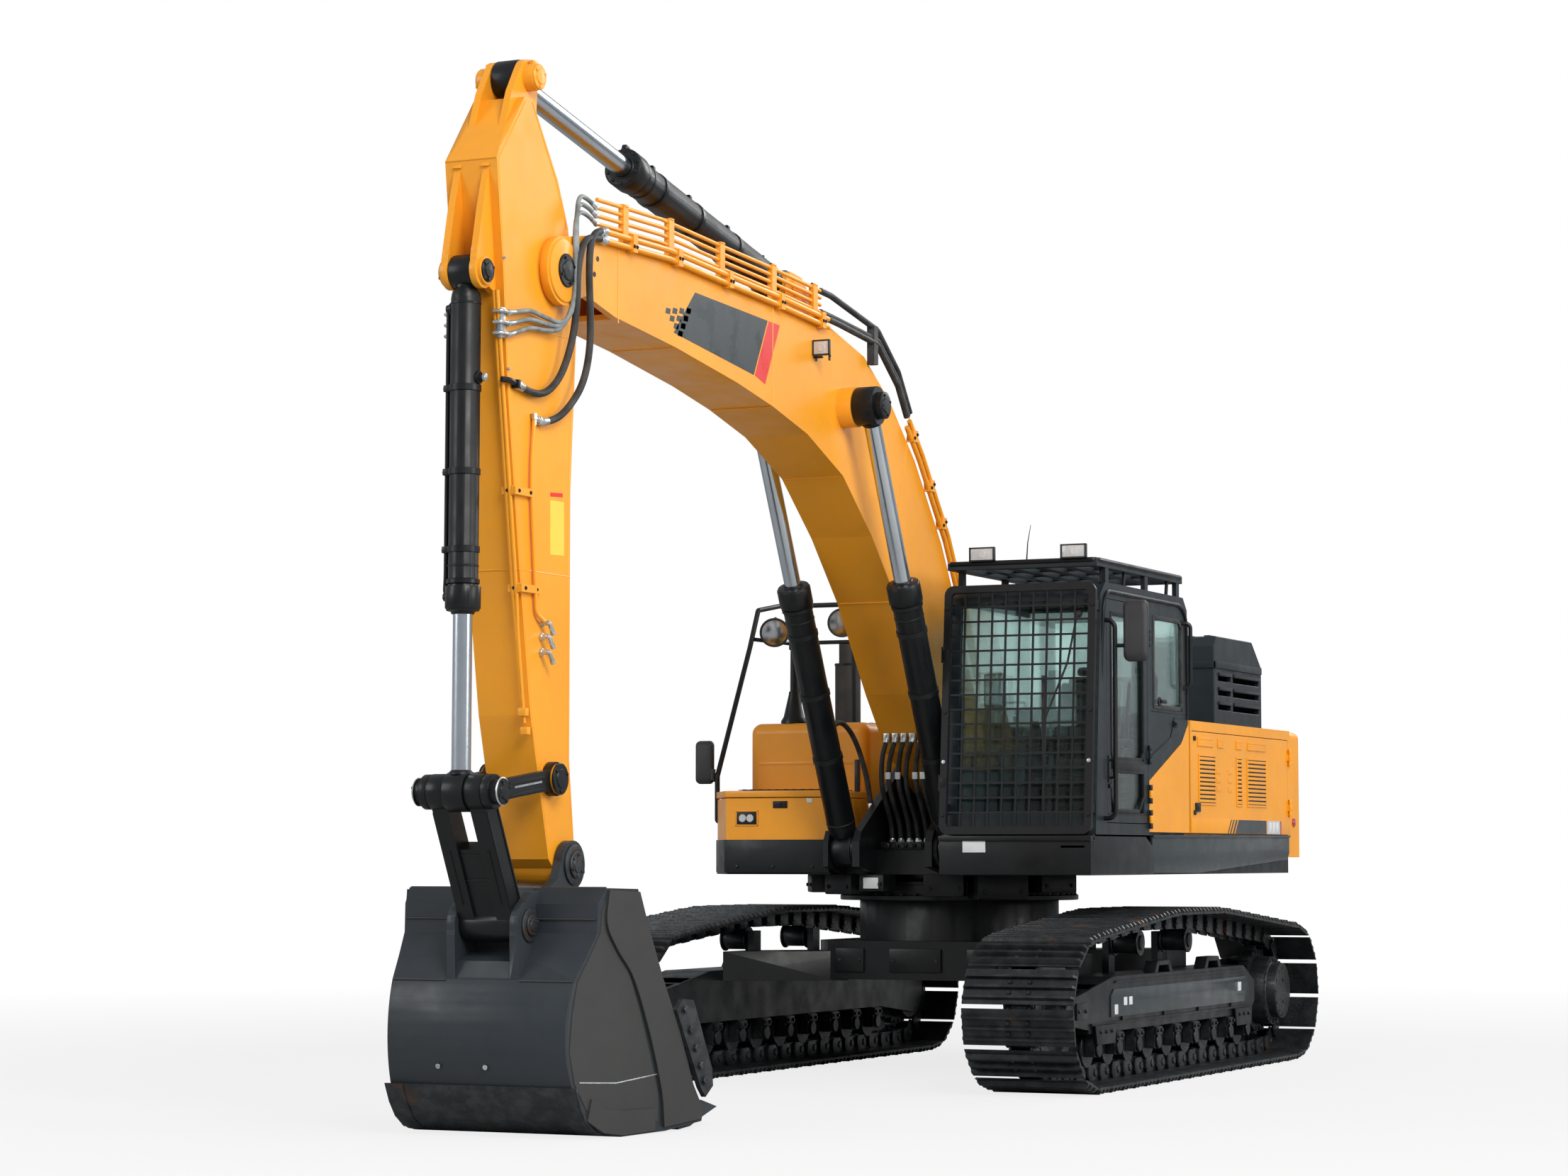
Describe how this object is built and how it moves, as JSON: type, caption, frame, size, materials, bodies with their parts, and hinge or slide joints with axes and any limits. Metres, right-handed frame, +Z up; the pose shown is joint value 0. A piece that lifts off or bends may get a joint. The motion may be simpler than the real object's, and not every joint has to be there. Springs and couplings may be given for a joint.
{
  "type": "crawler excavator",
  "caption": "Crawler excavator with a slewing cab and house on tracks, a bent boom, an arm and a toothed bucket worked by cylinders.",
  "frame": {"origin": "on the ground under the slewing axis", "axes": "-Y forwards over the bucket, +X to the machine's left (the cab's side), +Z up"},
  "size_m": [3.51, 10.0278, 5.506],
  "materials": {
    "paint_yellow": "semi-gloss enamel",
    "paint_slate": "satin enamel",
    "paint_black": "satin enamel",
    "track_steel": "bare rolled steel, darkened",
    "bucket_steel": "satin enamel",
    "counterweight_iron": "semi-gloss enamel on cast iron",
    "engine_block": "rough casting",
    "chrome_rod": "polished",
    "cab_glass": "tinted, clear",
    "seat_fabric": "woven",
    "console_plastic": "fine grained",
    "lamp": "clear lens in a dark housing",
    "hose_rubber": "matt, ribbed",
    "exhaust_steel": "matt heat-proof paint"
  },
  "bodies": {
    "undercarriage": {"car_body": "paint_black", "track_frames": "paint_black", "tracks": "track_steel", "idlers": "track_steel", "final_drives": "track_steel", "lower_rollers": "track_steel", "carrier_rollers": "track_steel", "swing_bearing": "paint_black"},
    "upperstructure": {"main_frame": "paint_black", "counterweight": "counterweight_iron", "engine": "engine_block", "left_side_panel": "paint_yellow", "right_side_panel": "paint_yellow", "top_deck": "paint_slate", "air_box": "paint_slate", "tool_box": "paint_yellow", "fuel_tank": "paint_yellow", "exhaust": "exhaust_steel", "cab_shell": "paint_slate", "cab_windows": "cab_glass", "operator_seat": "seat_fabric", "control_consoles": "console_plastic", "front_guard": "paint_black", "roof_guard": "paint_slate", "work_lamps": "lamp", "mirrors": "console_plastic", "handrails": "paint_black"},
    "cab_door": {"cab_door": "paint_slate", "cab_door_glass": "cab_glass"},
    "left_front_door": {"left_front_door": "paint_yellow"},
    "left_rear_door": {"left_rear_door": "paint_yellow"},
    "right_side_door": {"right_side_door": "paint_yellow"},
    "engine_hood": {"engine_hood": "paint_slate"},
    "tool_box_lid": {"tool_box_lid": "paint_yellow"},
    "boom": {"boom": "paint_yellow", "boom_pipes": "paint_yellow", "boom_hoses": "hose_rubber"},
    "boom_cylinder_barrels": {"boom_cylinder_barrels": "paint_black"},
    "boom_cylinder_rods": {"boom_cylinder_rods": "chrome_rod"},
    "arm_cylinder_barrel": {"arm_cylinder_barrel": "paint_black"},
    "arm_cylinder_rod": {"arm_cylinder_rod": "chrome_rod"},
    "arm": {"arm": "paint_yellow", "arm_pipes": "paint_yellow"},
    "bucket_cylinder_barrel": {"bucket_cylinder_barrel": "paint_black"},
    "bucket_cylinder_rod": {"bucket_cylinder_rod": "chrome_rod"},
    "rocker_links": {"rocker_links": "paint_black"},
    "bucket": {"bucket": "bucket_steel", "bucket_teeth": "bucket_steel"},
    "bucket_link": {"bucket_link": "paint_black"}
  },
  "joints": [
    {"name": "swing", "type": "hinge", "parent": "undercarriage", "child": "upperstructure", "pos_m": [0, 0, 1.205], "axis": [0, 0, 1], "continuous": true},
    {"name": "boom_lift", "type": "hinge", "parent": "upperstructure", "child": "boom", "pos_m": [0, -0.15, 1.95], "axis": [-1, 0, 0], "range_deg": [-48, 30]},
    {"name": "boom_cylinder_tilt", "type": "hinge", "parent": "upperstructure", "child": "boom_cylinder_barrels", "pos_m": [0, -1.02, 1.45], "axis": [-1, 0, 0], "range_deg": [-50.2, 31.4]},
    {"name": "boom_cylinder_stroke", "type": "slide", "parent": "boom_cylinder_barrels", "child": "boom_cylinder_rods", "axis": [0, -0.4499, 0.8931], "range_m": [-0.775, 0.485]},
    {"name": "arm_crowd", "type": "hinge", "parent": "boom", "child": "arm", "pos_m": [0, -5.975, 4.43], "axis": [1, 0, 0], "range_deg": [-66, 36]},
    {"name": "arm_cylinder_tilt", "type": "hinge", "parent": "boom", "child": "arm_cylinder_barrel", "pos_m": [0, -2.889, 4.798], "axis": [1, 0, 0], "range_deg": [-2.8, 1.6]},
    {"name": "arm_cylinder_stroke", "type": "slide", "parent": "arm_cylinder_barrel", "child": "arm_cylinder_rod", "axis": [0, -0.9832, 0.1827], "range_m": [-1.05, 0.575]},
    {"name": "bucket_curl", "type": "hinge", "parent": "arm", "child": "bucket", "pos_m": [0, -5.84, 1.361], "axis": [1, 0, 0], "range_deg": [-55, 90]},
    {"name": "rocker_turn", "type": "hinge", "parent": "arm", "child": "rocker_links", "pos_m": [0, -6.01, 1.8], "axis": [1, 0, 0], "range_deg": [-39.5, 64.5]},
    {"name": "bucket_cylinder_tilt", "type": "hinge", "parent": "arm", "child": "bucket_cylinder_barrel", "pos_m": [0, -6.63, 4.34], "axis": [1, 0, 0], "range_deg": [-3, 4.8]},
    {"name": "bucket_cylinder_stroke", "type": "slide", "parent": "bucket_cylinder_barrel", "child": "bucket_cylinder_rod", "axis": [0, -0.0076, -1], "range_m": [-0.38, 0.62]},
    {"name": "bucket_link_turn", "type": "hinge", "parent": "bucket", "child": "bucket_link", "pos_m": [0, -6.31, 1.06], "axis": [1, 0, 0], "range_deg": [-60, 37]},
    {"name": "cab_door_hinge", "type": "hinge", "parent": "upperstructure", "child": "cab_door", "pos_m": [1.515, -0.505, 2.3], "axis": [0, 0, 1], "range_deg": [0, 165]},
    {"name": "left_front_door_hinge", "type": "hinge", "parent": "upperstructure", "child": "left_front_door", "pos_m": [1.515, -0.5, 1.72], "axis": [0, 0, 1], "range_deg": [-100, 0]},
    {"name": "left_rear_door_hinge", "type": "hinge", "parent": "upperstructure", "child": "left_rear_door", "pos_m": [1.515, 2.57, 1.93], "axis": [0, 0, -1], "range_deg": [-100, 0]},
    {"name": "right_side_door_hinge", "type": "hinge", "parent": "upperstructure", "child": "right_side_door", "pos_m": [-1.515, 2.57, 1.93], "axis": [0, 0, 1], "range_deg": [-100, 0]},
    {"name": "engine_hood_hinge", "type": "hinge", "parent": "upperstructure", "child": "engine_hood", "pos_m": [0, 2.603, 2.311], "axis": [1, 0, 0], "range_deg": [-60, 0]},
    {"name": "tool_box_lid_hinge", "type": "hinge", "parent": "upperstructure", "child": "tool_box_lid", "pos_m": [0, -0.322, 1.838], "axis": [1, 0, 0], "range_deg": [-84, 0]}
  ],
  "couplings": [
    {"joint": "boom_cylinder_tilt", "follows": "boom_lift", "ratio": 1.0355},
    {"joint": "boom_cylinder_stroke", "follows": "boom_lift", "m_per_rad": 0.9178},
    {"joint": "arm_cylinder_tilt", "follows": "arm_crowd", "ratio": 0.041},
    {"joint": "arm_cylinder_stroke", "follows": "arm_crowd", "m_per_rad": 0.9061},
    {"joint": "rocker_turn", "follows": "bucket_curl", "ratio": 0.7017},
    {"joint": "bucket_cylinder_tilt", "follows": "bucket_curl", "ratio": 0.0511},
    {"joint": "bucket_cylinder_stroke", "follows": "bucket_curl", "m_per_rad": 0.3926},
    {"joint": "bucket_link_turn", "follows": "bucket_curl", "ratio": -0.6532}
  ]
}
